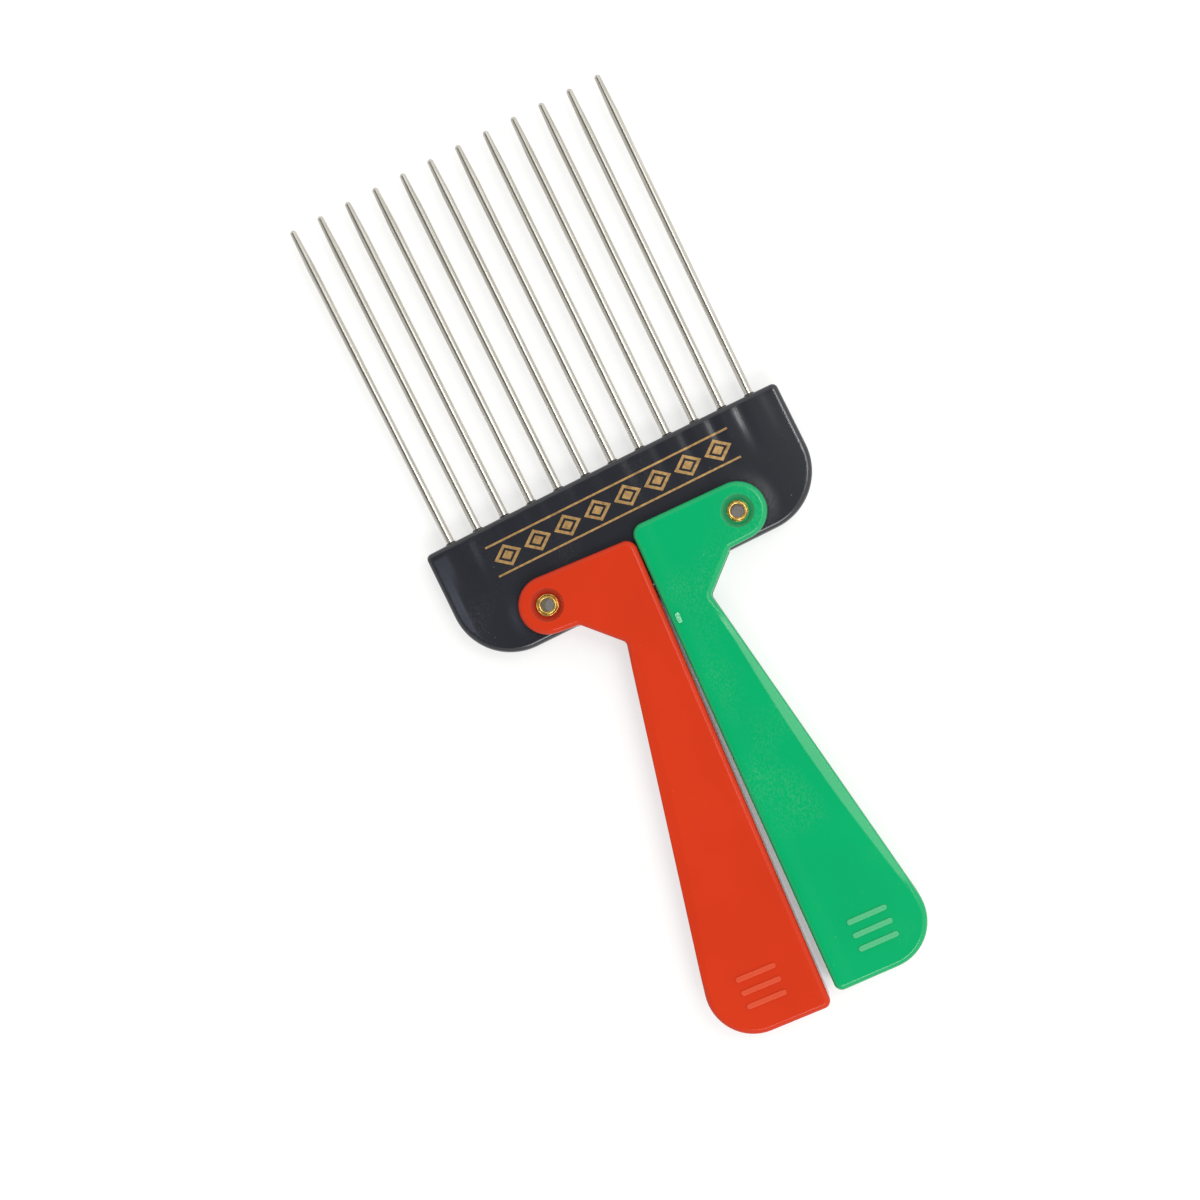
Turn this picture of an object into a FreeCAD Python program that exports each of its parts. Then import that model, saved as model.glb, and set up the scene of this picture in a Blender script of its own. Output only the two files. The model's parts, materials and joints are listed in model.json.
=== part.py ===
import FreeCAD, Part
import math
import os

from FreeCAD import Vector

# Folding afro pick. A moulded head holds a row of wire tines and carries two channel-shaped handles
# on hollow eyelets. Opened, the handles lie side by side and make the grip. Folded, each one swings
# half a turn and guards the tines on its own side.
# Sizes are in millimetres and angles in degrees. The origin is midway between the two pivots, on the
# middle plane of the head, with +X to the right, +Y to the tine tips and +Z out of the front face.

# Head
head_width = 83.0
head_rise = 21.3  # pivot line up to the tine edge, at the middle
head_drop = 6.7  # pivot line down to the lower edge
head_thickness = 5.0
head_crown = 0.3  # the tine edge bows up by this much
head_lower_corner_radius = 13.1
head_upper_corner_radius = 1.2
head_edge_radius = 1.15

# Tines
tine_count = 12
tine_side_margin = 6.0  # side of the head to the axis of the outermost tine
tine_exposed_length = 76.05
tine_diameter = 1.9
tine_tip_diameter = 1.4
tine_taper_length = 9.0
tine_fan_angle = 0.16  # from one tine to the next
root_to_eyelet_gap = 4.25  # plastic left between an eyelet and the tine roots

# Swells that the buried wires raise in the moulding, each with a collar where its wire comes out
boss_swell = 0.15
boss_runout = 3.0
boss_shoulder = 1.5
collar_diameter = 2.4
collar_height = 0.35

# Handles
handle_gap = 0.3  # between the two spines when both handles point straight down
plate_thickness = 2.3
web_thickness = 2.2
end_wall_thickness = 1.5
handle_edge_radius = 1.2
lobe_radius = 6.26
arm_fall = 0.25  # the arm's edges fall this far below the lobe's own tangents
arm_corner_inset = 4.6  # pivot to the corner under the arm, measured towards the spine
neck_width = 9.95
neck_drop = 13.8
flare_overhang = 3.9  # the flared edge reaches this far past the pivot before its corner is rounded
top_corner_radius = 2.5
arm_corner_radius = 0.9
neck_corner_radius = 1.3
outer_corner_radius = 10.2
spine_corner_radius = 1.7

# Raised thumb ribs near the handle's end
rib_count = 3
rib_length = 9.0
rib_width = 1.2
rib_height = 0.25
rib_spacing = 3.0
rib_inset = 9.5  # handle's end to the middle rib

# Eyelets
eyelet_bore_diameter = 2.76
eyelet_barrel_diameter = 3.5
eyelet_flange_diameter = 4.8
eyelet_rim_height = 0.35
eyelet_curl_height = 0.41
dish_diameter = 7.2  # at the plate's face
dish_floor_diameter = 5.2
dish_depth = 1.1

# Clearances
slot_clearance = 0.2  # raised face of the head to the plate beside it
fold_clearance = 0.85  # side of the head to the web of the folded handle
tip_clearance = 1.55  # tine tips to the end wall of the folded handle
web_clearance = 0.5  # lower edge of the head to the start of the web
pivot_clearance = 0.08  # eyelet barrel to the handle, on the radius
crimp_clearance = 0.03  # eyelet barrel to the head, on the radius
seat_clearance = 0.1  # eyelet flange to the floor of its dish
overrun = 2.0  # how far a cutting shape runs past what it cuts

# How far each handle leans where it rests, seen from the front and positive to the left
red_lean = -3.1
green_lean = -2.1

# Sizes that follow from the ones above
pivot_spacing = head_width / 2 + fold_clearance + web_thickness + handle_gap / 2
spine_distance = (pivot_spacing - handle_gap) / 2
tine_pitch = (head_width - 2 * tine_side_margin) / (tine_count - 1)
root_height = eyelet_barrel_diameter / 2 + root_to_eyelet_gap
slot_width = head_thickness + 2 * (boss_swell + slot_clearance)
handle_thickness = slot_width + 2 * plate_thickness
handle_reach = head_rise + tine_exposed_length + tip_clearance + end_wall_thickness
most_lean = math.radians(max(abs(red_lean), abs(green_lean)))
web_start = head_drop / math.cos(most_lean) + spine_distance * math.tan(most_lean) + web_clearance

# Two points closer than this are one point
same_point = 1e-6

axis_y = Vector(0, 1, 0)
axis_z = Vector(0, 0, 1)
middle = Vector(0, 0, 0)


def box(low_x, high_x, low_y, high_y, low_z, high_z):
    """Block between two opposite corners."""
    return Part.makeBox(high_x - low_x, high_y - low_y, high_z - low_z, Vector(low_x, low_y, low_z))


def disc(x, radius, low_z, high_z):
    """Upright cylinder on the pivot line."""
    return Part.makeCylinder(radius, high_z - low_z, Vector(x, 0, low_z), axis_z)


def rounded_wire(corners):
    """Closed outline through (x, y, radius) corners, each rounded by an arc that touches both sides."""
    arcs = []
    for index, (x, y, radius) in enumerate(corners):
        here = Vector(x, y, 0)
        before = Vector(*corners[index - 1][:2], 0) - here
        after = Vector(*corners[(index + 1) % len(corners)][:2], 0) - here
        before.normalize()
        after.normalize()
        half_angle = before.getAngle(after) / 2
        bisector = before + after
        bisector.normalize()
        reach = radius / math.tan(half_angle)
        arc_middle = here + bisector * (radius / math.sin(half_angle) - radius)
        arcs.append((here + before * reach, arc_middle, here + after * reach))
    edges = []
    for index, (start, arc_middle, end) in enumerate(arcs):
        last_end = arcs[index - 1][2]
        if last_end.distanceToPoint(start) > same_point:
            edges.append(Part.makeLine(last_end, start))
        edges.append(Part.Arc(start, arc_middle, end).toShape())
    return Part.Wire(Part.__sortEdges__(edges))


def slab(outline, thickness):
    """Flat piece of an even thickness about the middle plane."""
    face = Part.Face(outline)
    face.translate(Vector(0, 0, -thickness / 2))
    return face.extrude(Vector(0, 0, thickness))


def round_rims(solid, thickness, radius):
    """Round the front and back rims of a slab."""
    rims = []
    for edge in solid.Edges:
        depth = edge.BoundBox.ZMax + edge.BoundBox.ZMin
        if edge.BoundBox.ZLength < same_point and abs(abs(depth) - thickness) < same_point:
            rims.append(edge)
    return solid.makeFillet(radius, rims)


def tine_edge_height(x):
    """Height of the head's crowned tine edge above the pivot line."""
    return head_rise - head_crown * (2 * x / head_width) ** 2


def tine_place(index):
    """Placement of a tine: where it leaves the head, and its lean in the fan."""
    step = index - (tine_count - 1) / 2
    x = step * tine_pitch
    turn = FreeCAD.Rotation(axis_z, -step * tine_fan_angle)
    return FreeCAD.Placement(Vector(x, tine_edge_height(x), 0), turn)


def revolve_profile(points, axis):
    """Solid of revolution about an axis through the origin. A tuple of three points is an arc."""
    edges = []
    for start, end in zip(points, points[1:] + points[:1]):
        first = start[-1] if isinstance(start, tuple) else start
        last = end[0] if isinstance(end, tuple) else end
        if isinstance(start, tuple):
            edges.append(Part.Arc(*start).toShape())
        if first.distanceToPoint(last) > same_point:
            edges.append(Part.makeLine(first, last))
    return Part.Face(Part.Wire(edges)).revolve(middle, axis, 360)


def root_length():
    """Length of wire buried in the head."""
    return head_rise - root_height


def tine(index):
    """Wire with a tapered, rounded tip and a plain root, along its own line of the fan."""
    wire_radius = tine_diameter / 2
    tip_radius = tine_tip_diameter / 2
    tip_turn = math.radians(45)
    dome = tine_exposed_length - tip_radius
    tip = (
        Vector(tip_radius, dome, 0),
        Vector(tip_radius * math.cos(tip_turn), dome + tip_radius * math.sin(tip_turn), 0),
        Vector(0, tine_exposed_length, 0),
    )
    solid = revolve_profile([
        Vector(0, -root_length(), 0),
        Vector(wire_radius, -root_length(), 0),
        Vector(wire_radius, tine_exposed_length - tine_taper_length, 0),
        tip,
    ], axis_y)
    solid.Placement = tine_place(index)
    return solid


def boss(index):
    """Swell round a buried wire: it fades in at the root and ends in a collar at the tine edge."""
    full = head_thickness / 2 + boss_swell
    faded = head_thickness / 2 - boss_swell
    collar = collar_diameter / 2
    solid = revolve_profile([
        Vector(0, -root_length(), 0),
        Vector(faded, -root_length(), 0),
        Vector(full, boss_runout - root_length(), 0),
        Vector(full, -boss_shoulder, 0),
        Vector(collar, 0, 0),
        Vector(collar, collar_height, 0),
        Vector(0, collar_height, 0),
    ], axis_y)
    solid.Placement = tine_place(index)
    return solid


def head_outline():
    """Bar with a crowned tine edge and two large lower corners."""
    half = head_width / 2
    shoulder = tine_edge_height(half)
    corner = head_lower_corner_radius
    flank = corner - head_drop
    arc_share = math.cos(math.radians(45))
    right_arc = Vector(half - corner * (1 - arc_share), flank - corner * arc_share, 0)
    left_arc = Vector(-right_arc.x, right_arc.y, 0)
    return Part.Wire([
        Part.Arc(Vector(-half, shoulder, 0), Vector(0, head_rise, 0), Vector(half, shoulder, 0)).toShape(),
        Part.makeLine(Vector(half, shoulder, 0), Vector(half, flank, 0)),
        Part.Arc(Vector(half, flank, 0), right_arc, Vector(half - corner, -head_drop, 0)).toShape(),
        Part.makeLine(Vector(half - corner, -head_drop, 0), Vector(corner - half, -head_drop, 0)),
        Part.Arc(Vector(corner - half, -head_drop, 0), left_arc, Vector(-half, flank, 0)).toShape(),
        Part.makeLine(Vector(-half, flank, 0), Vector(-half, shoulder, 0)),
    ])


def head(tines):
    """Head with rounded rims, a swell over each root, the sockets of the tines and two eyelet holes."""
    solid = slab(head_outline(), head_thickness)
    shoulder = tine_edge_height(head_width / 2)
    upper_corners = []
    for edge in solid.Edges:
        if edge.BoundBox.ZLength > same_point and abs(edge.BoundBox.YMin - shoulder) < same_point:
            upper_corners.append(edge)
    solid = solid.makeFillet(head_upper_corner_radius, upper_corners)
    solid = round_rims(solid, head_thickness, head_edge_radius)
    solid = solid.fuse([boss(index) for index in range(tine_count)])
    hole_radius = eyelet_barrel_diameter / 2 + crimp_clearance
    holes = []
    for side in (-1, 1):
        holes.append(disc(side * pivot_spacing / 2, hole_radius, -head_thickness, head_thickness))
    return solid.cut(tines + holes)


def lobe_tangent(x, y, side):
    """Slope of the line from a point to the lobe, touching it above (1) or below (-1) the pivot."""
    to_pivot = math.atan2(-y, -x)
    return math.tan(to_pivot + side * math.asin(lobe_radius / math.hypot(x, y)))


def handle_corners():
    """Corners of the handle's outline, with the pivot at the origin and the spine on the left."""
    top = lobe_radius - arm_fall
    arm = -lobe_radius - arm_fall
    lobe_top = top + (lobe_radius + spine_distance) * lobe_tangent(-spine_distance, top, 1)
    lobe_bottom = arm + (lobe_radius + arm_corner_inset) * lobe_tangent(-arm_corner_inset, arm, -1)
    return [
        (-spine_distance, top, top_corner_radius),
        (lobe_radius, lobe_top, lobe_radius),
        (lobe_radius, lobe_bottom, lobe_radius),
        (-arm_corner_inset, arm, arm_corner_radius),
        (neck_width - spine_distance, -neck_drop, neck_corner_radius),
        (flare_overhang, -handle_reach, outer_corner_radius),
        (-spine_distance, -handle_reach, spine_corner_radius),
    ]


def flare_slope():
    """How far the flared edge runs outwards for each millimetre down the handle."""
    return (flare_overhang + spine_distance - neck_width) / (handle_reach - neck_drop)


def channel():
    """Space between the plates: open past the web at the head, and open along the flared edge."""
    flare_angle = math.atan(flare_slope())
    corner_reach = outer_corner_radius / math.tan((math.pi / 2 - flare_angle) / 2)
    wall_end = flare_overhang - corner_reach
    outside = lobe_radius + flare_overhang + overrun
    floor = end_wall_thickness - handle_reach
    half = slot_width / 2
    throat = box(-spine_distance - overrun, outside, -web_start, lobe_radius + overrun, -half, half)
    run = box(web_thickness - spine_distance, outside, floor, overrun - web_start, -half, half)
    mouth = box(wall_end, outside, -handle_reach - overrun, floor + overrun, -half, half)
    return throat.fuse([run, mouth])


def thumb_ribs():
    """Plain raised ribs with round ends, side by side across the front plate near the end."""
    middle_y = rib_inset - handle_reach
    edge = neck_width - spine_distance - (middle_y + neck_drop) * flare_slope()
    middle_x = (edge - spine_distance) / 2
    face = handle_thickness / 2
    top = face + rib_height
    base = face - rib_height
    half = (rib_length - rib_width) / 2
    ribs = []
    for index in range(rib_count):
        y = middle_y + (index - (rib_count - 1) / 2) * rib_spacing
        bar = box(middle_x - half, middle_x + half, y - rib_width / 2, y + rib_width / 2, base, top)
        ends = []
        for side in (-half, half):
            centre = Vector(middle_x + side, y, base)
            ends.append(Part.makeCylinder(rib_width / 2, top - base, centre, axis_z))
        ribs.append(bar.fuse(ends).removeSplitter())
    return ribs


def dish():
    """Tapered recess in the front plate for the curled end of the eyelet."""
    face = handle_thickness / 2
    floor = Vector(0, 0, face - dish_depth)
    return Part.makeCone(dish_floor_diameter / 2, dish_diameter / 2, dish_depth, floor, axis_z)


def handle():
    """Channel-shaped handle with its spine on the left, about a pivot at the origin."""
    face = handle_thickness / 2
    hole_radius = eyelet_barrel_diameter / 2 + pivot_clearance
    front_dish = dish()
    solid = slab(rounded_wire(handle_corners()), handle_thickness)
    solid = round_rims(solid, handle_thickness, handle_edge_radius)
    solid = solid.cut([
        channel(),
        front_dish,
        front_dish.mirror(middle, axis_z),
        disc(0, hole_radius, -face - overrun, face + overrun),
    ])
    return solid.fuse(thumb_ribs()).removeSplitter()


def hung_handle(solid, side, lean):
    """Handle set on its own pivot, leaning as it rests."""
    hung = solid if side > 0 else solid.mirror(middle, Vector(1, 0, 0))
    hung = hung.copy()
    hung.rotate(middle, axis_z, lean)
    hung.translate(Vector(side * pivot_spacing / 2, 0, 0))
    return hung


def eyelet(side):
    """Hollow eyelet through plate, head and plate, with both ends curled over in the dishes."""
    bore = eyelet_bore_diameter / 2
    barrel = eyelet_barrel_diameter / 2
    flange = eyelet_flange_diameter / 2
    seat = handle_thickness / 2 - dish_depth + seat_clearance
    rim = seat + eyelet_rim_height
    crest = rim + eyelet_curl_height
    curl = (bore + flange) / 2
    solid = revolve_profile([
        (Vector(bore, 0, rim), Vector(curl, 0, crest), Vector(flange, 0, rim)),
        Vector(flange, 0, seat),
        Vector(barrel, 0, seat),
        Vector(barrel, 0, -seat),
        Vector(flange, 0, -seat),
        (Vector(flange, 0, -rim), Vector(curl, 0, -crest), Vector(bore, 0, -rim)),
    ], axis_z)
    solid.translate(Vector(side * pivot_spacing / 2, 0, 0))
    return solid


def build():
    """Every piece of the pick by name."""
    tines = [tine(index) for index in range(tine_count)]
    one_handle = handle()
    pieces = {"head": head(tines)}
    for index, solid in enumerate(tines):
        pieces[f"tine_{index + 1:02d}"] = solid
    pieces["red_handle"] = hung_handle(one_handle, -1, red_lean)
    pieces["green_handle"] = hung_handle(one_handle, 1, green_lean)
    pieces["red_eyelet"] = eyelet(-1)
    pieces["green_eyelet"] = eyelet(1)
    return pieces


os.makedirs("parts", exist_ok=True)
for name, shape in build().items():
    shape.exportStep(os.path.join("parts", name + ".step"))
    size = shape.BoundBox
    print(f"{name}: {len(shape.Solids)} solid, valid {shape.isValid()}, {shape.Volume:.1f} mm3, "
          f"{size.XLength:.2f} x {size.YLength:.2f} x {size.ZLength:.2f} mm")
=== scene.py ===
# %% [markdown]
# A folding afro pick
# The pick is a black moulded head with a row of steel wire tines. Two channel-shaped handles turn on
# hollow brass eyelets: swung down they lie side by side as a grip, swung up they guard the tines.
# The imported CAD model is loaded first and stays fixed. Each piece made here, apart from the foil on the
# head, stands for one CAD node, in the same place, and rides on that node's body, so the handles still
# fold.

# %% Load the frame
import json
import math

import bmesh
import bpy
from mathutils import Matrix, Vector, noise

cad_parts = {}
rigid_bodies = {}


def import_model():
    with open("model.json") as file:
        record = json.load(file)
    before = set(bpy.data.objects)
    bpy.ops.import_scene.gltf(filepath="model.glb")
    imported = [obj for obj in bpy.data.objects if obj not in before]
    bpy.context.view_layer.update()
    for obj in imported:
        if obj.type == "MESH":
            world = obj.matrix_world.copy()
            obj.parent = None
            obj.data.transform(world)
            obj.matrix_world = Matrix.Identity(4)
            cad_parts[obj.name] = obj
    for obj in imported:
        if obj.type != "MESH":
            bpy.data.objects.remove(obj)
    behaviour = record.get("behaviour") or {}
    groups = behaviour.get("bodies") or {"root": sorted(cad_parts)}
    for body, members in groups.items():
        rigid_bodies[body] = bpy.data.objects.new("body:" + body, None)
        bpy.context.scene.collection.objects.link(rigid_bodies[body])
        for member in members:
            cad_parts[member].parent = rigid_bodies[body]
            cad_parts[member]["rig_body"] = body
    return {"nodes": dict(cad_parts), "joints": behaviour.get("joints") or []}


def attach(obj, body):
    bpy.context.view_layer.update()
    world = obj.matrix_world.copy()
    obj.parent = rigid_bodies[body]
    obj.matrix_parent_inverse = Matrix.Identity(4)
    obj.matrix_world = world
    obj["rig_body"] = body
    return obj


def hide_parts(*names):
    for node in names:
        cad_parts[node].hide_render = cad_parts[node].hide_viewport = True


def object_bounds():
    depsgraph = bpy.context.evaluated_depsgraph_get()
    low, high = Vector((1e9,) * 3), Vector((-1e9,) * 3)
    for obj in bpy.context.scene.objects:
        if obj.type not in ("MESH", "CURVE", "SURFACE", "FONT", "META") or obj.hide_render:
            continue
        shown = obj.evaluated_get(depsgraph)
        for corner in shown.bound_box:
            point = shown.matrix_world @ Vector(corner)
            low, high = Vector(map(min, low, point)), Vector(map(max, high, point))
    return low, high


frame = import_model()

mm = 0.001
cad_box = [list(corner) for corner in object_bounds()]
pivots = {joint["child"]: Vector(joint["pos_m"]) / mm for joint in frame["joints"]}

# %% [markdown]
# The camera
# The photo was taken from above the pick and a little to the right of it, so the view is nearly flat but
# not quite. A camera can be set by rotation angles, but a place, a point to look at and the lean of
# the pick in the picture are easier to read. Cross products turn those into the camera's axes.

# %% Camera
camera_place = Vector((17.55, -25.09, 466.77))
camera_aim = Vector((-12.16, -3.79, 0))
picture_lean = math.radians(26.25)
picture_side = 1200  # pixels
focal_length = 2200  # pixels

camera = bpy.data.objects.new("camera", bpy.data.cameras.new("camera"))
bpy.context.scene.collection.objects.link(camera)
camera.data.lens = camera.data.sensor_width * focal_length / picture_side
camera.data.clip_start = mm
backward = (camera_place - camera_aim).normalized()
rightward = Vector((math.sin(picture_lean), math.cos(picture_lean), 0)).cross(backward).normalized()
upward = backward.cross(rightward)
camera_turn = Matrix((rightward, upward, backward)).transposed().to_4x4()
camera.matrix_world = Matrix.Translation(camera_place * mm) @ camera_turn
bpy.context.scene.camera = camera
bpy.context.scene.view_settings.view_transform = "Standard"
print("camera lens", round(camera.data.lens, 1), "mm")

# %% [markdown]
# Colours and nodes
# Colours are written as sRGB hex values, as a paint program shows them, and a shader wants them linear.
# Materials are built from nodes: one helper adds a node, sets its properties and fills its inputs with
# plain values or with the outputs of other nodes.

# %% Helpers for materials
def linear(code):
    """Linear colour, with alpha, of an sRGB hex value."""
    channels = [int(code[place:place + 2], 16) / 255 for place in (1, 3, 5)]
    return [c / 12.92 if c <= 0.04045 else ((c + 0.055) / 1.055) ** 2.4 for c in channels] + [1.0]


def add_node(tree, kind, links=(), **settings):
    """Add a node. Settings are its properties; links give each input a value or another node's output."""
    node = tree.nodes.new(kind)
    for name, value in settings.items():
        setattr(node, name, value)
    for socket, value in dict(links).items():
        if isinstance(value, bpy.types.NodeSocket):
            tree.links.new(value, node.inputs[socket])
        else:
            node.inputs[socket].default_value = value
    return node


def per_mm(size):
    """Texture scale that repeats a pattern about every so many millimetres."""
    return 1 / (size * mm)


print("white is", linear("#ffffff"))

# %% [markdown]
# Light
# The pick lies in a white tent with a dark opening overhead and to the left. Flat faces mirror that opening
# and keep their own colour, and every tine shows it as a thin dark streak. The tent's left wall is dimmer
# than its right one, which gives each tine a light and a dark side. Two soft lamps stand just past
# the opening, at the right and below, so rounded edges on those sides carry a bright line. A small bulb
# beside the right lamp makes the glints on the head, and a weak cool lamp in the opening gives the head's
# left end some sheen. The tent could be modelled, but a world whose strength depends on the direction does
# the same and casts the softest shadows.

# %% Lamps
lamp_distance = 0.8  # metres


def soft_light(name, toward, length, width, brightness, colour="#ffffff"):
    """Area lamp that faces the pick. Brightness 1 is as bright as the tent."""
    lamp = bpy.data.lights.new(name, "AREA")
    lamp.shape = "RECTANGLE"
    lamp.size = length
    lamp.size_y = width
    lamp.energy = brightness * math.pi * length * width
    lamp.color = linear(colour)[:3]
    holder = bpy.data.objects.new(name, lamp)
    holder.location = Vector(toward).normalized() * lamp_distance
    holder.rotation_euler = Vector(toward).to_track_quat("Z", "Y").to_euler()
    bpy.context.scene.collection.objects.link(holder)


soft_light("right_lamp", toward=(0.407, 0.03, 0.913), length=0.36, width=0.27, brightness=3.5)
soft_light("lower_lamp", toward=(0.0, -0.57, 0.82), length=0.4, width=0.2, brightness=6.0)
soft_light("bulb", toward=(0.24, 0.08, 0.97), length=0.04, width=0.04, brightness=40.0)
soft_light("left_lamp", toward=(-0.27, 0.07, 0.96), length=0.06, width=0.06, brightness=3.0,
           colour="#dfe8ff")
print("lamps", [lamp.name for lamp in bpy.data.lights])

# %% World
opening = (-0.26, 0.03, 0.965)
opening_edge = [math.cos(math.radians(angle)) for angle in (15, 35)]
opening_colour = "#55585f"
tent_colour = "#ffffff"
tent_strength = 1.0
dim_side = 0.7  # brightness of the tent's left wall beside the right one
dim_turn = (-0.9, 0.3)  # how far right a direction points, from the dim wall to the bright one

world = bpy.data.worlds.new("white_tent")
world.use_nodes = True
bpy.context.scene.world = world
sky = world.node_tree
direction = add_node(sky, "ShaderNodeTexCoord").outputs["Generated"]
nearness = add_node(sky, "ShaderNodeVectorMath", {0: direction, 1: opening}, operation="DOT_PRODUCT")
tent = add_node(sky, "ShaderNodeMapRange", {
    "Value": nearness.outputs["Value"], "From Min": opening_edge[0], "From Max": opening_edge[1],
}, interpolation_type="SMOOTHSTEP")
shade = add_node(sky, "ShaderNodeMix", {
    0: tent.outputs["Result"], 6: linear(opening_colour), 7: linear(tent_colour)}, data_type="RGBA")
across = add_node(sky, "ShaderNodeSeparateXYZ", {0: direction})
strength = add_node(sky, "ShaderNodeMapRange", {
    "Value": across.outputs["X"], "From Min": dim_turn[0], "From Max": dim_turn[1],
    "To Min": dim_side * tent_strength, "To Max": tent_strength})
sky.links.new(shade.outputs[2], sky.nodes["Background"].inputs["Color"])
sky.links.new(strength.outputs["Result"], sky.nodes["Background"].inputs["Strength"])
print("world", world.name)

# %% [markdown]
# Floor
# The floor is a wide sheet of pale paper just under the backs of the handles. Lit by the tent it comes out
# grey, so a glow is added, only for rays from the camera and for reflections, which takes the open paper
# up to white and no further. The glow goes out where little of the sky is open, so narrow gaps and the
# bottoms of the eyelets stay dark.

# %% Floor
floor_half = 4.0  # metres
floor_glow = 0.58
floor_gap = 0.02 * mm
shade_reach = 6.0 * mm
shade_samples = 8
open_share = (0.03, 0.17)  # of the sky, from no glow to all of it
paper_roughness = 0.9

paper = bpy.data.materials.new("pale_paper")
paper.use_nodes = True
tree = paper.node_tree
shader = tree.nodes["Principled BSDF"]
ray = add_node(tree, "ShaderNodeLightPath").outputs
openness = add_node(tree, "ShaderNodeAmbientOcclusion", {"Distance": shade_reach}, samples=shade_samples)
openness = add_node(tree, "ShaderNodeMapRange", {
    "Value": openness.outputs["AO"], "From Min": open_share[0], "From Max": open_share[1]})
glow = ray["Is Camera Ray"]
for operation, value in (("MAXIMUM", ray["Is Glossy Ray"]), ("MAXIMUM", ray["Is Transmission Ray"]),
                         ("MULTIPLY", floor_glow), ("MULTIPLY", openness.outputs["Result"])):
    glow = add_node(tree, "ShaderNodeMath", {0: glow, 1: value}, operation=operation).outputs[0]
tree.links.new(glow, shader.inputs["Emission Strength"])
shader.inputs["Emission Color"].default_value = linear("#ffffff")
shader.inputs["Base Color"].default_value = linear("#b8b8b6")
shader.inputs["Roughness"].default_value = paper_roughness
shader.inputs["Specular IOR Level"].default_value = 0.0
bm = bmesh.new()
bmesh.ops.create_grid(bm, x_segments=1, y_segments=1, size=floor_half)
bmesh.ops.translate(bm, vec=(0, 0, cad_box[0][2] - floor_gap), verts=bm.verts)
floor = bpy.data.objects.new("floor", bpy.data.meshes.new("floor"))
bm.to_mesh(floor.data)
bm.free()
floor.data.materials.append(paper)
bpy.context.scene.collection.objects.link(floor)
print("floor at", round(cad_box[0][2] / mm, 2), "mm")

# %% [markdown]
# Moulded polystyrene
# Head and handles are polystyrene, injected into polished moulds. It is glossy, with an even colour
# that drifts a little where the melt flowed, a surface that is never quite flat, dust specks, and scuffs
# from use. One function mixes those for all three colours: a slow noise for the drift and the waviness,
# a torn noise, kept to a few patches, for the scuffs, and rare peaks of a fine noise for the specks. Two
# attributes of the mesh darken and pale the plastic. The first darkens the dishes round the eyelets,
# partly because their floor is thin over the black head and partly as painted shade in the recess. The
# second makes the plastic paler and rougher where the mould was etched to leave it frosted, on the tops
# of the ribs, and a little in the dishes, where the paler skin also stands in for a painted pale sheen.
# Real scuffs are finer than the picture shows, so they are drawn coarser.

# %% Plastics
plastic_ior = 1.59
flow_size = 22  # millimetres, as the other sizes here
flow_band = (0.3, 0.7)  # values of a noise from which to which its effect grows
most_drift = 0.15
patch_size = 16
patch_band = (0.55, 0.7)
tear_sizes = (0.3, 0.6, 0.6)  # along X, Y and Z
tear_band = (0.45, 0.8)
dust_size = 0.8
dust_band = (0.83, 0.9)
scuff_roughness = 0.55
wave_height = 0.2 * mm
wave_strength = 0.25
scuff_height = 0.02 * mm
scuff_strength = 0.2


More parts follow.
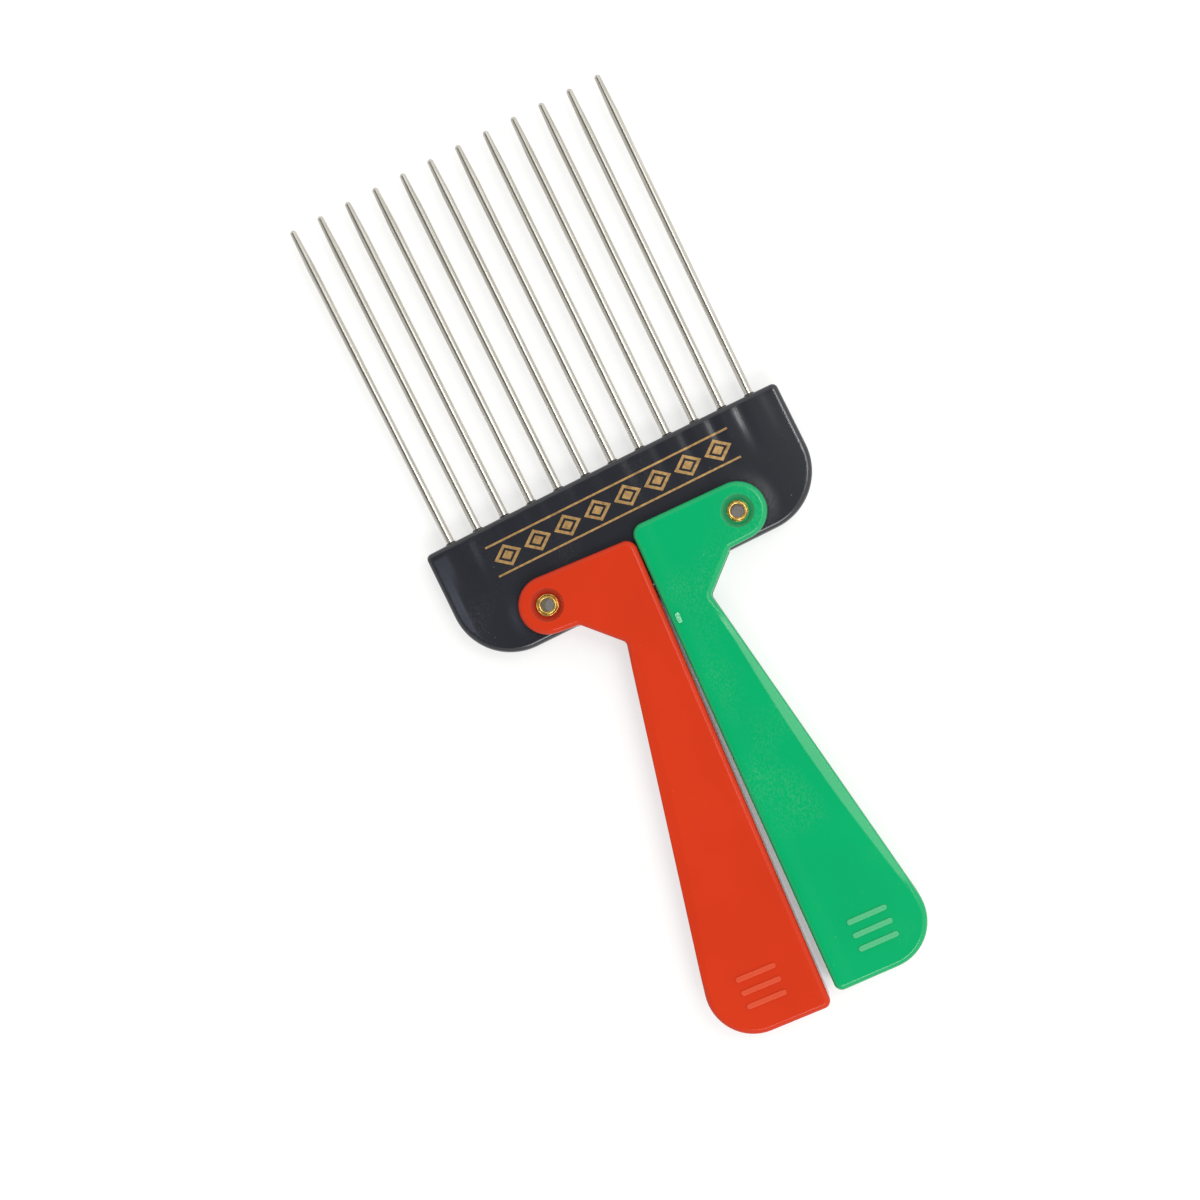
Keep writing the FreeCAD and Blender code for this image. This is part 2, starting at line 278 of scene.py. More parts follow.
def moulded_polystyrene(name, colour, deep, pale_marks_and_sheen, roughness, gloss, wear):
    """Plastic with a colour, a darker tone for the drift and for painted shade in the dishes, a paler one
    for scuffs, frosting and painted sheen on the dishes, a roughness, a gloss and a share of wear.
    """
    material = bpy.data.materials.new(name)
    material.use_nodes = True
    tree = material.node_tree
    shader = tree.nodes["Principled BSDF"]
    place = add_node(tree, "ShaderNodeTexCoord").outputs["Object"]
    flow = add_node(tree, "ShaderNodeTexNoise", {
        "Vector": place, "Scale": per_mm(flow_size), "Detail": 2.0}).outputs["Fac"]
    drift = add_node(tree, "ShaderNodeMapRange", {
        "Value": flow, "From Min": flow_band[0], "From Max": flow_band[1], "To Max": most_drift}).outputs[0]
    patch = add_node(tree, "ShaderNodeTexNoise", {
        "Vector": place, "Scale": per_mm(patch_size), "Detail": 1.0}).outputs["Fac"]
    patch = add_node(tree, "ShaderNodeMapRange", {
        "Value": patch, "From Min": patch_band[0], "From Max": patch_band[1], "To Max": wear}).outputs[0]
    along = add_node(tree, "ShaderNodeMapping", {
        "Vector": place, "Scale": [per_mm(size) for size in tear_sizes]}).outputs[0]
    torn = add_node(tree, "ShaderNodeTexNoise", {
        "Vector": along, "Scale": 1.0, "Detail": 4.0}).outputs["Fac"]
    torn = add_node(tree, "ShaderNodeMapRange", {
        "Value": torn, "From Min": tear_band[0], "From Max": tear_band[1]}).outputs[0]
    scuff = add_node(tree, "ShaderNodeMath", {0: patch, 1: torn}, operation="MULTIPLY").outputs[0]
    dust = add_node(tree, "ShaderNodeTexNoise", {
        "Vector": place, "Scale": per_mm(dust_size), "Detail": 0.0}).outputs["Fac"]
    dust = add_node(tree, "ShaderNodeMapRange", {
        "Value": dust, "From Min": dust_band[0], "From Max": dust_band[1], "To Max": wear}).outputs[0]
    frosted_and_sheen = add_node(tree, "ShaderNodeAttribute", attribute_name="frosted_and_sheen").outputs["Fac"]
    # paler and rougher where scuffed, dusty or frosted; in the dishes the paler skin is also a painted pale
    # sheen
    marks_and_sheen = scuff
    for other in (dust, frosted_and_sheen):
        marks_and_sheen = add_node(tree, "ShaderNodeMath", {0: marks_and_sheen, 1: other}, operation="MAXIMUM").outputs[0]
    # darker in the dishes: partly the thin floor over the black head, partly painted shade in the recess
    thin_and_shaded = add_node(tree, "ShaderNodeAttribute", attribute_name="thin_wall_and_shade").outputs["Fac"]
    dark = add_node(tree, "ShaderNodeMath", {0: drift, 1: thin_and_shaded}, operation="ADD", use_clamp=True).outputs[0]
    body = add_node(tree, "ShaderNodeMix", {
        0: dark, 6: linear(colour), 7: linear(deep)}, data_type="RGBA").outputs[2]
    skin = add_node(tree, "ShaderNodeMix", {
        0: marks_and_sheen, 6: body, 7: linear(pale_marks_and_sheen)}, data_type="RGBA").outputs[2]
    dull = add_node(tree, "ShaderNodeMapRange", {
        "Value": marks_and_sheen, "To Min": roughness, "To Max": scuff_roughness}).outputs[0]
    wave = add_node(tree, "ShaderNodeBump", {
        "Height": flow, "Strength": wave_strength, "Distance": wave_height}).outputs[0]
    worn = add_node(tree, "ShaderNodeBump", {
        "Height": scuff, "Normal": wave, "Strength": scuff_strength, "Distance": scuff_height}).outputs[0]
    for output, socket in ((skin, "Base Color"), (dull, "Roughness"), (worn, "Normal")):
        tree.links.new(output, shader.inputs[socket])
    shader.inputs["IOR"].default_value = plastic_ior
    shader.inputs["Specular IOR Level"].default_value = gloss
    return material


black_polystyrene = moulded_polystyrene(
    "black_moulded_polystyrene", "#27282d", "#1d1e22", "#54565a", roughness=0.17, gloss=0.5, wear=0.3)
red_polystyrene = moulded_polystyrene(
    "red_moulded_polystyrene", "#d23a1c", "#8f2014", "#df5a3a", roughness=0.13, gloss=0.12, wear=0.2)
green_polystyrene = moulded_polystyrene(
    "green_moulded_polystyrene", "#00ad68", "#0a8252", "#62bf88", roughness=0.16, gloss=0.28, wear=0.25)
print("plastics", [m.name for m in bpy.data.materials if "polystyrene" in m.name])

# %% [markdown]
# Metals
# The tines are nickel-plated steel wire. Drawing the wire through a die leaves fine lines along it, so
# the noise is stretched along the tine. Real lines are finer than the picture shows, so they are drawn
# 0.3 mm apart. The eyelets are brass; the real ones are a little dull where fingers don't reach, and here
# a noise dulls them in small patches. The ornament on the head is hot-stamped foil, gold lacquer over a
# breath of metal, rubbed in places, so it is only half as metallic and its grain is uneven.

# %% Metals
streak_band = (0.35, 0.75)
streak_gloss = (0.7, 1.3)  # times the roughness
streak_height = 0.02 * mm
streak_strength = 0.1


def drawn_metal(name, colour, deep, roughness, grain, metallic=1.0):
    """Plated or bare metal with streaks. Grain is the streaks' spacing in millimetres along X, Y and Z."""
    material = bpy.data.materials.new(name)
    material.use_nodes = True
    tree = material.node_tree
    shader = tree.nodes["Principled BSDF"]
    place = add_node(tree, "ShaderNodeTexCoord").outputs["Object"]
    along = add_node(tree, "ShaderNodeMapping", {
        "Vector": place, "Scale": [per_mm(size) for size in grain]}).outputs[0]
    streak = add_node(tree, "ShaderNodeTexNoise", {
        "Vector": along, "Scale": 1.0, "Detail": 3.0}).outputs["Fac"]
    tone = add_node(tree, "ShaderNodeMapRange", {
        "Value": streak, "From Min": streak_band[0], "From Max": streak_band[1]}).outputs[0]
    skin = add_node(tree, "ShaderNodeMix", {
        0: tone, 6: linear(colour), 7: linear(deep)}, data_type="RGBA").outputs[2]
    dull = add_node(tree, "ShaderNodeMapRange", {
        "Value": streak, "To Min": roughness * streak_gloss[0], "To Max": roughness * streak_gloss[1],
    }).outputs[0]
    line = add_node(tree, "ShaderNodeBump", {
        "Height": streak, "Strength": streak_strength, "Distance": streak_height}).outputs[0]
    for output, socket in ((skin, "Base Color"), (dull, "Roughness"), (line, "Normal")):
        tree.links.new(output, shader.inputs[socket])
    shader.inputs["Metallic"].default_value = metallic
    return material


nickel_wire = drawn_metal(
    "nickel_plated_steel_wire", "#dcd8ce", "#b7b2a6", roughness=0.25, grain=(0.3, 12, 0.3))
brass = drawn_metal(
    "rolled_brass", "#eccb76", "#ab8038", roughness=0.18, grain=(0.8, 0.8, 0.8))
gold_foil = drawn_metal(
    "hot_stamped_gold_foil", "#c09a62", "#8d6c40", roughness=0.45, grain=(0.9, 0.9, 0.9), metallic=0.5)
print("metals", nickel_wire.name, brass.name, gold_foil.name)

# %% [markdown]
# Building pieces
# Every piece is drawn in millimetres with bmesh operators, then scaled to metres. Holes and channels are
# cut by a Boolean modifier with a second shape, as a machinist cuts with a tool. At the end the piece is
# smoothed everywhere except at real creases, and a Weighted Normal modifier keeps big flat faces flat.

# %% Helpers for pieces
touching = 1e-4  # points nearer than this are one point
sliver = 1e-3  # edges shorter than this are left over from a cut
crease = math.radians(35)
flat_face_weight = 100


def new_object(bm, name):
    """Object from a finished bmesh."""
    bmesh.ops.remove_doubles(bm, verts=bm.verts, dist=touching)
    bmesh.ops.recalc_face_normals(bm, faces=bm.faces)
    piece = bpy.data.objects.new(name, bpy.data.meshes.new(name))
    bm.to_mesh(piece.data)
    bm.free()
    bpy.context.scene.collection.objects.link(piece)
    return piece


def combine(piece, tool_bm, operation):
    """Cut a shape out of a piece, or join it on."""
    tool = new_object(tool_bm, "tool")
    cut = piece.modifiers.new("cut", "BOOLEAN")
    cut.operation = operation
    cut.solver = "EXACT"
    cut.object = tool
    made = bpy.data.meshes.new_from_object(piece.evaluated_get(bpy.context.evaluated_depsgraph_get()))
    piece.modifiers.clear()
    piece.data = made
    bpy.data.objects.remove(tool)


def clear_slivers(mesh):
    """Merge points that cuts left on top of each other, and drop the slivers between them."""
    bm = bmesh.new()
    bm.from_mesh(mesh)
    bmesh.ops.remove_doubles(bm, verts=bm.verts, dist=sliver)
    bmesh.ops.dissolve_degenerate(bm, edges=bm.edges, dist=sliver)
    bm.to_mesh(mesh)
    bm.free()


def finish_piece(piece, body, material):
    """Scale a piece to metres, smooth it, give it its material and let it ride on a body."""
    mesh = piece.data
    clear_slivers(mesh)
    mesh.transform(Matrix.Scale(mm, 4))
    mesh.materials.clear()
    mesh.materials.append(material)
    mesh.polygons.foreach_set("use_smooth", [True] * len(mesh.polygons))
    mesh.set_sharp_from_angle(angle=crease)
    normals = piece.modifiers.new("flat_faces", "WEIGHTED_NORMAL")
    normals.keep_sharp = True
    normals.weight = flat_face_weight
    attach(piece, body)
    print(piece.name, len(mesh.polygons), "faces")


def dress(piece, node, material):
    """Finish a piece and let it stand for a CAD node."""
    finish_piece(piece, frame["nodes"][node]["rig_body"], material)
    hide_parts(node)


print("slivers up to", sliver, "mm are cleared")

# %% [markdown]
# Shapes
# The pick needs few kinds of shape. Its mouldings are flat outlines with round corners, thickened, with
# their rims rounded over. Wires, dishes and eyelets are turned, so half of their outline is spun about an
# axis. Channels are cut with blocks.

# %% Helpers for shapes
def rounded_face(corners, steps):
    """Flat face whose (x, y, radius) corners are arcs, each spun from its first point."""
    bm = bmesh.new()
    ends = []
    for index, (x, y, radius) in enumerate(corners):
        here = Vector((x, y, 0))
        before = (Vector((*corners[index - 1][:2], 0)) - here).normalized()
        after = (Vector((*corners[(index + 1) % len(corners)][:2], 0)) - here).normalized()
        half = before.angle(after) / 2
        centre = here + (before + after).normalized() * radius / math.sin(half)
        first = bm.verts.new(here + before * radius / math.tan(half))
        turn = math.copysign(math.pi - 2 * half, after.cross(before).z)
        spun = bmesh.ops.spin(bm, geom=[first], cent=centre, axis=(0, 0, 1), angle=turn, steps=steps)
        ends.append((first, spun["geom_last"][0]))
    for index in range(len(ends)):
        bm.edges.new((ends[index - 1][1], ends[index][0]))
    bmesh.ops.remove_doubles(bm, verts=bm.verts, dist=touching)
    bmesh.ops.contextual_create(bm, geom=bm.edges[:])
    return bm


def thicken(bm, thickness, edge_radius, segments=7):
    """Make a flat face a slab about the middle plane, with rounded front and back rims."""
    bmesh.ops.translate(bm, vec=(0, 0, -thickness / 2), verts=bm.verts)
    raised = bmesh.ops.extrude_face_region(bm, geom=bm.faces[:], use_keep_orig=True)["geom"]
    raised = [part for part in raised if isinstance(part, bmesh.types.BMVert)]
    bmesh.ops.translate(bm, vec=(0, 0, thickness), verts=raised)
    bmesh.ops.recalc_face_normals(bm, faces=bm.faces)
    rims = [edge for edge in bm.edges if edge.verts[0].co.z == edge.verts[1].co.z]
    bmesh.ops.bevel(bm, geom=rims, offset=edge_radius, offset_type="OFFSET", segments=segments, profile=0.5,
                    material=-1, affect="EDGES", clamp_overlap=False)


def block(low, high):
    """Box between two opposite corners."""
    bm = bmesh.new()
    bmesh.ops.create_cube(bm, size=1.0)
    low, high = Vector(low), Vector(high)
    bmesh.ops.scale(bm, vec=high - low, verts=bm.verts)
    bmesh.ops.translate(bm, vec=(low + high) / 2, verts=bm.verts)
    return bm


def lathe(profile, axis, sides):
    """Solid of revolution of (radius, height) points about an axis through the origin."""
    bm = bmesh.new()
    axis = Vector(axis)
    out = Vector((1, 0, 0))
    chain = [bm.verts.new(out * radius + axis * height) for radius, height in profile]
    edges = [bm.edges.new(pair) for pair in zip(chain, chain[1:])]
    bmesh.ops.spin(bm, geom=chain + edges, cent=(0, 0, 0), axis=axis, angle=math.tau, steps=sides,
                   use_merge=True)
    bmesh.ops.remove_doubles(bm, verts=bm.verts, dist=touching)
    bmesh.ops.recalc_face_normals(bm, faces=bm.faces)
    return bm


def arc(centre, radius, start, end, count):
    """Points of an arc, in degrees, for a profile."""
    angles = [math.radians(start + (end - start) * step / count) for step in range(count + 1)]
    return [(centre[0] + radius * math.cos(a), centre[1] + radius * math.sin(a)) for a in angles]


print("a quarter circle in two steps", arc((0, 0), 1, start=0, end=90, count=2))

# %% [markdown]
# Tines
# Each tine is a length of wire with a tapered, rounded tip. A lathe is the natural tool: half of the
# outline is drawn beside the axis and spun. The twelve differ only in where they stand and how far they
# lean in the fan, so one loop makes them all.

# %% Tines
tine_count = 12
tine_pitch = 6.4545
tine_fan = math.radians(0.16)
tine_length = 76.05
tip_radius = 0.7
taper_length = 9.0
root_length = 15.3
wire_radius = 0.95
wire_sides = 28
head_half = 41.5
head_rise = 21.3
head_crown = 0.3


def tine_edge_height(x):
    """Height of the head's crowned tine edge."""
    return head_rise - head_crown * (x / head_half) ** 2


def tine_place(index):
    """Where a tine leaves the head, and its lean."""
    step = index - (tine_count - 1) / 2
    x = step * tine_pitch
    return Matrix.Translation((x, tine_edge_height(x), 0)) @ Matrix.Rotation(-step * tine_fan, 4, "Z")


tine_profile = [(0, -root_length), (wire_radius, -root_length), (wire_radius, 0)]
tine_profile += [(wire_radius, tine_length - taper_length)]
tine_profile += arc((0, tine_length - tip_radius), tip_radius, start=0, end=90, count=6)
for index in range(tine_count):
    bm = lathe(tine_profile, axis=(0, 1, 0), sides=wire_sides)
    bm.transform(tine_place(index))
    name = f"tine_{index + 1:02d}"
    dress(new_object(bm, name + "_wire"), name, nickel_wire)

# %% [markdown]
# Head
# The head is one moulding round the wire roots. Its front and back are flat, but the plastic shrinks less
# over each buried wire, so a soft swell runs down from every tine and shows as a streak in the reflection.
# Riveting leaves a low mound round each eyelet, and the left end droops a little towards its edge. The
# outline is spun and extruded, planes slice it into narrow strips, and the strips' corners are moved by the
# height that a function gives.

# %% Head outline and faces
head_drop = 6.7
head_thickness = 5.0
head_edge_radius = 1.15
lower_corner = 13.1
upper_corner = 1.2
crown_cuts = 40
swell_height = 0.1
swell_share = (0.7, 0.9, 0.6, 0.9, 0.8, 0.6, 1.0, 0.8, 1.0, 1.2, 1.2, 0.35)  # of that height, tine by tine
swell_flank = (1.2, 3.2)  # from the wire's axis
swell_fade = (7.0, 19.0)  # heights on the face
pivot_mound = 0.11
pivot_mound_reach = (5.6, 9.4)  # from a pivot
end_droop = 0.1
end_droop_reach = (0.9, 3.3)  # from the left end
strip_width = tine_pitch / 10
end_strip = 0.3
on_plane = 1e-5  # points nearer to a slicing plane than this lie on it


def smooth_step(value, low, high):
    """0 below low, 1 above high, and an easy curve between."""
    share = min(max((value - low) / (high - low), 0), 1)
    return share * share * (3 - 2 * share)


def face_lift(x, y):
    """Height of the head's face above a true plane."""
    middle = (tine_count - 1) / 2
    tine = min(max(round(x / tine_pitch + middle), 0), tine_count - 1)
    off_axis = abs(x - (tine - middle) * tine_pitch)
    swell = swell_height * swell_share[tine]
    swell *= (1 - smooth_step(off_axis, *swell_flank)) * smooth_step(y, *swell_fade)
    to_pivot = min(math.dist((x, y), pivot.xy) for pivot in pivots.values())
    mound = pivot_mound * (1 - smooth_step(to_pivot, *pivot_mound_reach))
    return swell + mound - end_droop * (1 - smooth_step(x + head_half, *end_droop_reach))


def slice_at(bm, point, direction):
    """Cut every face along a plane, and keep both sides."""
    bmesh.ops.bisect_plane(bm, geom=bm.verts[:] + bm.edges[:] + bm.faces[:], dist=on_plane,
                           plane_co=point, plane_no=direction)


def slice_head(bm):
    """Cut a piece of the head into the strips that follow its swells."""
    strips = int((head_half - head_edge_radius) / strip_width)
    for count in range(-strips, strips + 1):
        slice_at(bm, (count * strip_width, 0, 0), (1, 0, 0))
    droop_start, droop_end = end_droop_reach
    for count in range(round((droop_end - droop_start) / end_strip) + 1):
        slice_at(bm, (droop_start + count * end_strip - head_half, 0, 0), (1, 0, 0))
    for y in range(-int(head_drop), int(swell_fade[1]) + 1):
        slice_at(bm, (0, y, 0), (0, 1, 0))


shoulder = tine_edge_height(head_half)
bm = rounded_face([
    (-head_half, -head_drop, lower_corner), (head_half, -head_drop, lower_corner),
    (head_half, shoulder, upper_corner), (-head_half, shoulder, upper_corner),
], steps=24)
top_edge = [edge for edge in bm.edges if edge.calc_length() > head_half and edge.verts[0].co.y > 0]
bmesh.ops.subdivide_edges(bm, edges=top_edge, cuts=crown_cuts)
for vert in bm.verts:
    if vert.co.y > shoulder - touching:
        vert.co.y = tine_edge_height(vert.co.x)
thicken(bm, head_thickness, head_edge_radius)
slice_head(bm)
for vert in bm.verts:
    vert.co.z *= 1 + face_lift(vert.co.x, vert.co.y) / (head_thickness / 2)
head = new_object(bm, "head_moulding")
print("head faces", len(head.data.polygons))

# %% Collars, sockets and eyelet holes of the head
collar_radius = 1.2
collar_height = 0.35
collar_round = 0.2
collar_root = 2.0
socket_top = 2.0
eyelet_hole = 1.78
eyelet_hole_sides = 48
past_face = 4.0  # half height of a hole's cutting shape

collar_middle = (collar_radius - collar_round, collar_height - collar_round)
collar_profile = [(0, -collar_root), (collar_radius, -collar_root)]
collar_profile += arc(collar_middle, collar_round, start=0, end=90, count=4) + [(0, collar_height)]
socket_profile = [(0, -root_length), (wire_radius, -root_length)]
socket_profile += [(wire_radius, socket_top), (0, socket_top)]
hole_profile = [(0, -past_face), (eyelet_hole, -past_face), (eyelet_hole, past_face), (0, past_face)]
for profile, operation in ((collar_profile, "UNION"), (socket_profile, "DIFFERENCE")):
    for index in range(tine_count):
        bm = lathe(profile, axis=(0, 1, 0), sides=wire_sides)
        bm.transform(tine_place(index))
        combine(head, bm, operation)
for pivot in pivots.values():
    bm = lathe(hole_profile, axis=(0, 0, 1), sides=eyelet_hole_sides)
    bmesh.ops.translate(bm, vec=pivot, verts=bm.verts)
    combine(head, bm, "DIFFERENCE")
dress(head, "head", black_polystyrene)

# %% [markdown]
# Foil ornament
# A band of gold foil is stamped on the head: a row of plain lozenges between two thin rules. Each lozenge
# is a circle of four corners. Two insets divide it into a frame, a gap and a core, and the gap is deleted.
# The same planes slice the band as the head, so it bends over the swells with the plastic.

# %% Foil ornament
foil_middle = Vector((-0.5, 13.4, 0))
foil_rise = 0.05
foil_root = 0.15
lozenge_count = 8
lozenge_pitch = 7.1
lozenge_half = (3.2, 2.5)
lozenge_frame = 0.62
lozenge_gap = 0.5
rule_half = (28.6, 0.22)
rule_offset = 3.35

bm = bmesh.new()
for index in range(lozenge_count):
    along = (index - (lozenge_count - 1) / 2) * lozenge_pitch
    place = Matrix.Translation(foil_middle + Vector((along, 0, 0)))
    corners = bmesh.ops.create_circle(bm, cap_ends=True, segments=4, radius=1.0,
                                      matrix=place @ Matrix.Diagonal((*lozenge_half, 1, 1)))["verts"]
    core = corners[0].link_faces[:]
    for thickness in (lozenge_frame, lozenge_gap):
        ring = bmesh.ops.inset_region(bm, faces=core, thickness=thickness, use_boundary=True,
                                      use_even_offset=True)["faces"]
    bmesh.ops.delete(bm, geom=ring, context="FACES")
for side in (-1, 1):
    place = Matrix.Translation(foil_middle + Vector((0, side * rule_offset, 0)))
    bmesh.ops.create_grid(bm, x_segments=1, y_segments=1, size=1.0,
                          matrix=place @ Matrix.Diagonal((*rule_half, 1, 1)))
slice_head(bm)
raised = bmesh.ops.extrude_face_region(bm, geom=bm.faces[:], use_keep_orig=True)["geom"]
raised = {part for part in raised if isinstance(part, bmesh.types.BMVert)}
for vert in bm.verts:
    face_height = head_thickness / 2 + face_lift(vert.co.x, vert.co.y)
    vert.co.z = face_height + (foil_rise if vert in raised else -foil_root)
foil = new_object(bm, "head_foil_band")
finish_piece(foil, "head_unit", gold_foil)

# %% [markdown]
# Handles
# A handle is a channel: a front plate and a back plate joined by a web along the spine and by a short wall
# at the end, open along the flared edge so that it can swallow the tines. It is cut from a rounded slab.
# The plates are not quite flat. They sink a little away from the web, and the free edge, which is sharper
# than the others, rolls inwards along a lens-shaped strip, widest half-way down. The two handles are mirror
# images, so the side, 1 or -1, turns every x.

# %% Handle outline
lobe_radius = 6.26
spine = 22.2
reach = 100.4
handle_thickness = 10.3
handle_edge_radius = 1.2
neck_width = 9.95
neck_drop = 13.8
neck_radius = 1.3
overhang = 3.9
outer_radius = 10.2
heel_radius = 1.7
top_radius = 2.5
arm_fall = 0.25
arm_corner = 4.6
arm_radius = 0.9


def lobe_tangent(x, y, side):
    """Slope of the line from a point that touches the lobe above (1) or below (-1) the pivot."""
    return math.tan(math.atan2(-y, -x) + side * math.asin(lobe_radius / math.hypot(x, y)))


def handle_corners():
    """Corners of the outline with the pivot at the origin and the spine on the left."""
    top = lobe_radius - arm_fall
    arm = -lobe_radius - arm_fall
    lobe_top = top + (lobe_radius + spine) * lobe_tangent(-spine, top, 1)
    lobe_bottom = arm + (lobe_radius + arm_corner) * lobe_tangent(-arm_corner, arm, -1)
    return [
        (-spine, top, top_radius), (lobe_radius, lobe_top, lobe_radius),
        (lobe_radius, lobe_bottom, lobe_radius), (-arm_corner, arm, arm_radius),
        (neck_width - spine, -neck_drop, neck_radius), (overhang, -reach, outer_radius),
        (-spine, -reach, heel_radius),
    ]


neck_point = Vector((neck_width - spine, -neck_drop, 0))
flare_run = (Vector((overhang, -reach, 0)) - neck_point).normalized()
flare_out = Vector((-flare_run.y, flare_run.x, 0))
print("corners", [[round(v, 2) for v in corner] for corner in handle_corners()])

# %% Handle faces
face = handle_thickness / 2
plate_sink = 0.1
plate_sink_slices = (1.6, 2.2, 2.8, 3.4, 4.0, 4.7, 5.5)  # from the spine, over which the plate sinks
edge_roll = math.tan(math.radians(8))  # slope
edge_roll_width = (1.35, 2.5)  # at the ends and half-way down
edge_roll_span = (24.0, 84.0)  # down the handle, where the strip widens
edge_roll_slices = 14
free_edge_radius = 0.35
free_edge_start = (15.0, 20.0)  # down the handle, from the common rim to the sharper one
free_edge_end = (83.0, 89.0)  # and back to the common rim


def flare_inset(x, y):
    """Distance inwards from the flared edge."""
    return (neck_point - Vector((x, y, 0))).dot(flare_out)


def free_edge(y):
    """1 along the flared edge, and 0 past its ends."""
    return smooth_step(-y, *free_edge_start) * (1 - smooth_step(-y, *free_edge_end))


def plate_drop(x, y):
    """How far a plate's face lies below a true plane."""
    start, end = edge_roll_span
    along = min(max((-y - start) / (end - start), 0), 1)
    least, most = edge_roll_width
    rolled = least + (most - least) * math.sin(math.pi * along) - flare_inset(x, y)
    sink = plate_sink * smooth_step(x + spine, plate_sink_slices[0], plate_sink_slices[-1])
    return sink + edge_roll * free_edge(y) * max(rolled, 0)


def sharpen_free_edge(bm):
    """Shrink the rounded rim of the flared edge towards its corner."""
    for vert in bm.verts:
        inset, drop = flare_inset(vert.co.x, vert.co.y), face - abs(vert.co.z)
        if max(inset, drop) < handle_edge_radius + sliver:
            shrink = (1 - free_edge_radius / handle_edge_radius) * free_edge(vert.co.y)
            vert.co += flare_out * inset * shrink
            vert.co.z += math.copysign(drop * shrink, vert.co.z)


def handle_slab():
    """Rounded slab whose faces sink and roll."""
    bm = rounded_face(handle_corners(), steps=16)
    thicken(bm, handle_thickness, handle_edge_radius)
    for y in range(-int(free_edge_end[1]), -int(free_edge_start[0]) + 1):
        slice_at(bm, (0, y, 0), (0, 1, 0))
    sharpen_free_edge(bm)
    for distance in plate_sink_slices:
        slice_at(bm, (distance - spine, 0, 0), (1, 0, 0))
    for count in range(1, edge_roll_slices + 1):
        inset = free_edge_radius + (edge_roll_width[1] - free_edge_radius) * count / edge_roll_slices
        slice_at(bm, neck_point - flare_out * inset, flare_out)
    for vert in bm.verts:
        vert.co.z *= 1 - plate_drop(vert.co.x, vert.co.y) / face
    return bm


print("edge rolls up to", round(edge_roll * edge_roll_width[1], 2), "mm below its plate")

# %% Dish and channel of the handle
dish_radius = 3.6
dish_floor_radius = 2.6
dish_floor = 4.05
dish_rim = 0.12
pivot_hole = 1.83
past_slab = 8.0
slot_half = 2.85
web_start = 8.412
web_thickness = 2.2
end_wall = 1.5
cut_right = 12.0
cut_top = 9.0
cut_past = 2.0  # how far a cut goes past the slab
cut_overlap = 1.0  # and into the next cut

plate_face = face - plate_sink
rim_start = dish_radius + dish_rim * math.tan(math.pi / 8)
dish_half = [(pivot_hole, dish_floor), (dish_floor_radius, dish_floor)]
dish_half += arc((rim_start, plate_face - dish_rim), dish_rim, start=135, end=90, count=6)
dish_half += [(rim_start, past_slab)]
dish_profile = [(0, -past_slab)] + [(r, -z) for r, z in reversed(dish_half)] + dish_half + [(0, past_slab)]
outer_turn = math.pi / 2 - math.atan(-flare_run.x / flare_run.y)
wall_end = overhang - outer_radius / math.tan(outer_turn / 2)


def channel_blocks():
    """The throat beside the head, the run between the plates and the mouth through the end wall."""
    for left, bottom, top in (
            (-spine - cut_past, -web_start, cut_top),
            (web_thickness - spine, end_wall - reach, cut_overlap - web_start),
            (wall_end, -reach - cut_past, end_wall - reach + cut_overlap)):
        yield block((left, bottom, -slot_half), (cut_right, top, slot_half))


print("dish rim", round(rim_start, 2), "mm, end wall up to", round(wall_end, 2), "mm")

# %% Ribs and gate mark of the handle
rib_half = (4.5, 0.6)
rib_height = 0.25
rib_rim = 0.15
rib_spacing = 3.0
rib_inset = 9.5
rib_middle = (neck_point.x + (rib_inset - reach - neck_point.y) * flare_run.x / flare_run.y - spine) / 2
gate_place = Vector((-20.45, -15.5, 0))
gate_half = (0.55, 1.25)
gate_height = 0.16
gate_rim = 0.08
gate_normal = Vector((0.134, 0.03, 0.985))  # of the slanting cut


def pill(middle, half, height, rim):
    """Low bar with round ends that stands as high above its middle as it is sunk below."""
    end_radius = min(half) - sliver
    signs = ((-1, -1), (1, -1), (1, 1), (-1, 1))
    bm = rounded_face([(side * half[0], lift * half[1], end_radius) for side, lift in signs], steps=8)
    thicken(bm, 2 * height, rim, segments=3)
    bmesh.ops.translate(bm, vec=middle, verts=bm.verts)
    return bm


def gate_mark():
    """Nub where the melt was let into the mould, cut off at a slant."""
    bm = pill((0, 0, 0), gate_half, gate_height, gate_rim)
    slant = Vector((0, 0, 1)).rotation_difference(gate_normal).to_matrix()
    bmesh.ops.rotate(bm, verts=bm.verts, cent=(0, 0, 0), matrix=slant)
    bmesh.ops.translate(bm, vec=gate_place + Vector((0, 0, face)), verts=bm.verts)
    return bm


print("handle at its ribs", round(2 * (rib_middle + spine), 2), "mm wide")

# %% Handles
lean = {"red_handle": math.radians(-3.1), "green_handle": math.radians(-2.1)}
dish_sides = 64
rib_frosting = 0.6
# in the dishes the frosting also paints a pale sheen
dish_frosting_and_sheen = 0.12
# the dishes' darker tone is partly their thin floor over the black head and partly painted shade in the
# recess
thin_wall_and_shade_tone = 0.65
plate_skin = 0.1


def in_dish(spot):
    """Whether a spot lies on the walls or the floor of a dish."""
    return spot.xy.length < dish_radius and slot_half + plate_skin < abs(spot.z) < plate_face - plate_skin


def dish_tone(spot):
    """How dark a spot in a dish is painted: partly for the thin floor over the black head, partly as
    painted shade in the recess.
    """
    return thin_wall_and_shade_tone * in_dish(spot)


def frosting_and_dish_sheen(spot):
    """How frosted a spot is, and how much painted pale sheen a dish carries: the tops of the ribs most, the
    dishes less.
    """
    on_rib = spot.z > plate_face + rib_height / 2 and spot.y < -reach / 2
    return rib_frosting * on_rib + dish_frosting_and_sheen * in_dish(spot)


def mark_faces(mesh, name, amount):
    """Face attribute whose amount a function of the face's middle gives."""
    values = mesh.attributes.new(name, "FLOAT", "FACE").data
    for polygon in mesh.polygons:
        values[polygon.index].value = amount(polygon.center)


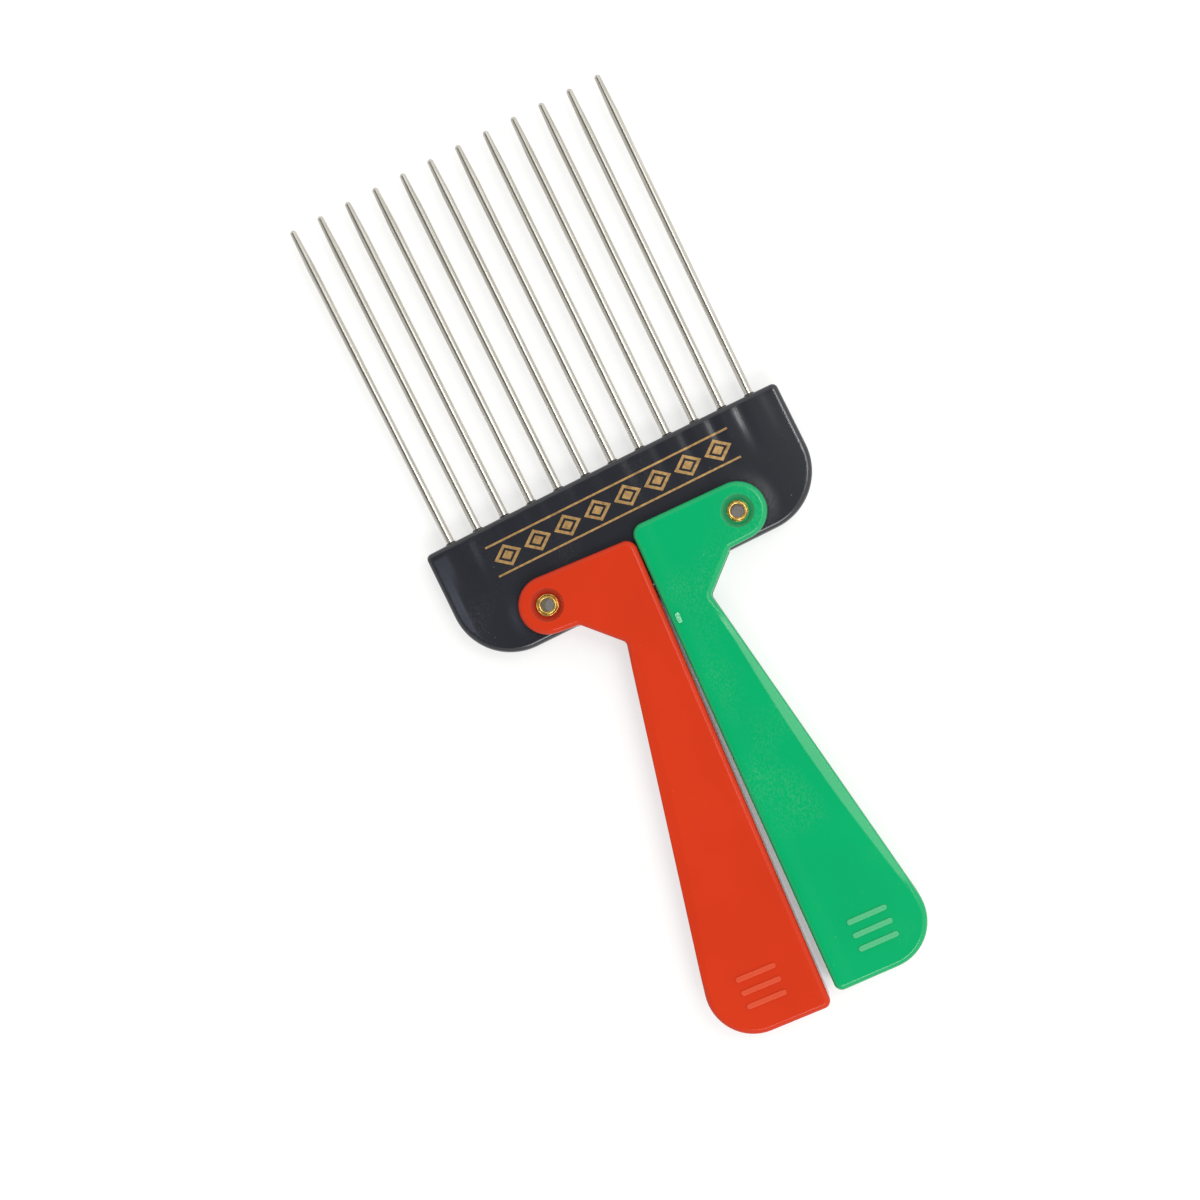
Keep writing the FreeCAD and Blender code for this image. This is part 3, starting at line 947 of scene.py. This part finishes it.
for body, side, slot, material in (("red_handle", -1, "red_plastic", red_polystyrene),
                                   ("green_handle", 1, "green_plastic", green_polystyrene)):
    handle = new_object(handle_slab(), body + "_moulding")
    for tool in channel_blocks():
        combine(handle, tool, "DIFFERENCE")
    combine(handle, lathe(dish_profile, axis=(0, 0, 1), sides=dish_sides), "DIFFERENCE")
    for step in (-1, 0, 1):
        rib_place = (rib_middle, rib_inset - reach + step * rib_spacing, plate_face)
        combine(handle, pill(rib_place, rib_half, rib_height, rib_rim), "UNION")
    if body == "green_handle":
        combine(handle, gate_mark(), "UNION")
    mark_faces(handle.data, "thin_wall_and_shade", dish_tone)
    mark_faces(handle.data, "frosted_and_sheen", frosting_and_dish_sheen)
    hang = Matrix.Translation(pivots[body]) @ Matrix.Rotation(lean[body], 4, "Z")
    handle.data.transform(hang @ Matrix.Diagonal((side, 1, 1, 1)))
    if side < 0:
        handle.data.flip_normals()
    dress(handle, body, material)

# %% [markdown]
# Eyelets
# A hollow eyelet goes through plate, head and plate. The press rolls its ends over into a round bead. On
# the green handle the bead fills the whole rim, on the red one it is smaller and leaves a thin ragged lip
# outside it. The outline beside the bore is two arcs, one for the bead and one for the lip, spun about the
# eyelet's axis, and a noise pushes the lip's points about.

# %% Eyelets
bore = 1.38
barrel = 1.75
seat = 4.15
bead_base = 4.5
lip_base = 4.35
lip_grain = 1.3  # scale of the noise
eyelet_sides = 64
eyelets = (("red_eyelet", 2.4, 0.33, 0.16), ("green_eyelet", 2.26, 0.37, 0.02))  # flange, bead, ragged lip

for name, flange, bead, ragged in eyelets:
    lip = (flange - bore) / 2 - bead
    half_profile = arc((bore + bead, bead_base), bead, start=180, end=20, count=10)
    half_profile += arc((flange - lip, lip_base), lip, start=150, end=0, count=6)
    half_profile += [(flange, seat), (barrel, seat)]
    eyelet_profile = half_profile + [(radius, -height) for radius, height in reversed(half_profile)]
    bm = lathe(eyelet_profile + eyelet_profile[:1], axis=(0, 0, 1), sides=eyelet_sides)
    for vert in bm.verts:
        radius = vert.co.xy.length
        if radius > bore + 2 * bead:
            push = 1 + ragged * noise.noise(vert.co * lip_grain) / radius
            vert.co.x *= push
            vert.co.y *= push
    bmesh.ops.translate(bm, vec=pivots[name.replace("eyelet", "handle")], verts=bm.verts)
    dress(new_object(bm, name + "_brass"), name, brass)
